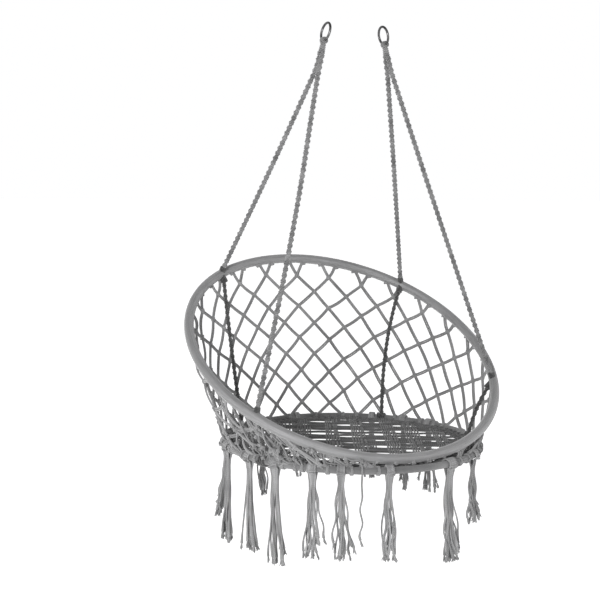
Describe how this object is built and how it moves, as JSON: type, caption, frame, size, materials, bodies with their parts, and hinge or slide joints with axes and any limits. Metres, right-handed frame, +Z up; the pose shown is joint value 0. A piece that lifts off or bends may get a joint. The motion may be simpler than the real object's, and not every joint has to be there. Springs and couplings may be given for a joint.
{
  "type": "macrame hanging chair",
  "caption": "Round macrame hammock chair: steel rings, twisted ropes, a tilted sleeved hoop, a knotted net down to a woven seat, and a fringe of tassels.",
  "frame": {"origin": "midway between the centres of the two top rings, on the swing axis", "axes": "+Z up, +X from one top ring to the other, the open front of the seat faces -Y"},
  "size_m": [0.824, 0.7323, 1.2885],
  "materials": {
    "ring_steel": "satin bent wire",
    "frame_steel": "dark painted tube, hidden inside the sleeve and the wrap",
    "sleeve_cloth": "smooth woven cloth sleeve",
    "rope": "half-knot twisted cotton cord rope",
    "cord": "cotton cord",
    "net_cord": "knotted cotton cord",
    "seat_cord": "densely woven cotton cord",
    "tassel_cord": "unravelled cotton cord"
  },
  "bodies": {
    "hang_rings": {"top_ring_left": "ring_steel", "top_ring_right": "ring_steel"},
    "chair": {"rope_loop_left": "rope", "rope_loop_right": "rope", "rope_collar_left": "rope", "rope_collar_right": "rope", "suspension_rope_front_left": "rope", "suspension_rope_front_right": "rope", "suspension_rope_back_left": "rope", "suspension_rope_back_right": "rope", "hoop_tube": "frame_steel", "hoop_sleeve": "sleeve_cloth", "hoop_knot_front_left": "cord", "hoop_knot_front_right": "cord", "hoop_knot_back_left": "cord", "hoop_knot_back_right": "cord", "net": "net_cord", "lower_cord_front_left": "cord", "lower_cord_front_right": "cord", "lower_cord_back_left": "cord", "lower_cord_back_right": "cord", "seat_ring_tube": "frame_steel", "seat_ring_wrap": "cord", "seat_knot_front_left": "cord", "seat_knot_front_right": "cord", "seat_knot_back_left": "cord", "seat_knot_back_right": "cord", "seat_weave": "seat_cord"},
    "tassel_01": {"tassel_01": "tassel_cord"},
    "tassel_02": {"tassel_02": "tassel_cord"},
    "tassel_03": {"tassel_03": "tassel_cord"},
    "tassel_04": {"tassel_04": "tassel_cord"},
    "tassel_05": {"tassel_05": "tassel_cord"},
    "tassel_06": {"tassel_06": "tassel_cord"},
    "tassel_07": {"tassel_07": "tassel_cord"},
    "tassel_08": {"tassel_08": "tassel_cord"},
    "tassel_09": {"tassel_09": "tassel_cord"},
    "tassel_10": {"tassel_10": "tassel_cord"},
    "tassel_11": {"tassel_11": "tassel_cord"},
    "tassel_12": {"tassel_12": "tassel_cord"},
    "tassel_13": {"tassel_13": "tassel_cord"},
    "tassel_14": {"tassel_14": "tassel_cord"},
    "tassel_15": {"tassel_15": "tassel_cord"}
  },
  "joints": [
    {"name": "swing", "type": "hinge", "parent": "hang_rings", "child": "chair", "pos_m": [0, 0, 0], "axis": [1, 0, 0], "range_deg": [-30, 30]},
    {"name": "tassel_01_swing", "type": "hinge", "parent": "chair", "child": "tassel_01", "pos_m": [0.29882, 0.07576, -1.012], "axis": [-0.342, 0.9397, 0], "range_deg": [-35, 35]},
    {"name": "tassel_02_swing", "type": "hinge", "parent": "chair", "child": "tassel_02", "pos_m": [0.26207, 0.14712, -1.012], "axis": [-0.5664, 0.8241, 0], "range_deg": [-35, 35]},
    {"name": "tassel_03_swing", "type": "hinge", "parent": "chair", "child": "tassel_03", "pos_m": [0.20012, 0.21413, -1.012], "axis": [-0.7771, 0.6293, 0], "range_deg": [-35, 35]},
    {"name": "tassel_04_swing", "type": "hinge", "parent": "chair", "child": "tassel_04", "pos_m": [0.00278, 0.28499, -1.012], "axis": [-1, 0.0087, 0], "range_deg": [-35, 35]},
    {"name": "tassel_05_swing", "type": "hinge", "parent": "chair", "child": "tassel_05", "pos_m": [-0.11137, 0.26486, -1.012], "axis": [-0.9367, -0.3502, 0], "range_deg": [-35, 35]},
    {"name": "tassel_06_swing", "type": "hinge", "parent": "chair", "child": "tassel_06", "pos_m": [-0.30244, 0.06527, -1.012], "axis": [-0.309, -0.9511, 0], "range_deg": [-35, 35]},
    {"name": "tassel_07_swing", "type": "hinge", "parent": "chair", "child": "tassel_07", "pos_m": [-0.31364, 0.01948, -1.012], "axis": [-0.165, -0.9863, 0], "range_deg": [-35, 35]},
    {"name": "tassel_08_swing", "type": "hinge", "parent": "chair", "child": "tassel_08", "pos_m": [-0.31105, -0.09912, -1.012], "axis": [0.2079, -0.9781, 0], "range_deg": [-35, 35]},
    {"name": "tassel_09_swing", "type": "hinge", "parent": "chair", "child": "tassel_09", "pos_m": [-0.28207, -0.17984, -1.012], "axis": [0.4617, -0.887, 0], "range_deg": [-35, 35]},
    {"name": "tassel_10_swing", "type": "hinge", "parent": "chair", "child": "tassel_10", "pos_m": [-0.22486, -0.25786, -1.012], "axis": [0.7071, -0.7071, 0], "range_deg": [-35, 35]},
    {"name": "tassel_11_swing", "type": "hinge", "parent": "chair", "child": "tassel_11", "pos_m": [-0.17319, -0.2997, -1.012], "axis": [0.8387, -0.5446, 0], "range_deg": [-35, 35]},
    {"name": "tassel_12_swing", "type": "hinge", "parent": "chair", "child": "tassel_12", "pos_m": [-0.13187, -0.32237, -1.012], "axis": [0.91, -0.4147, 0], "range_deg": [-35, 35]},
    {"name": "tassel_13_swing", "type": "hinge", "parent": "chair", "child": "tassel_13", "pos_m": [-0.07153, -0.34285, -1.012], "axis": [0.9744, -0.225, 0], "range_deg": [-35, 35]},
    {"name": "tassel_14_swing", "type": "hinge", "parent": "chair", "child": "tassel_14", "pos_m": [0.09562, -0.33628, -1.012], "axis": [0.9537, 0.3007, 0], "range_deg": [-35, 35]},
    {"name": "tassel_15_swing", "type": "hinge", "parent": "chair", "child": "tassel_15", "pos_m": [0.19796, -0.28187, -1.012], "axis": [0.7826, 0.6225, 0], "range_deg": [-35, 35]}
  ]
}
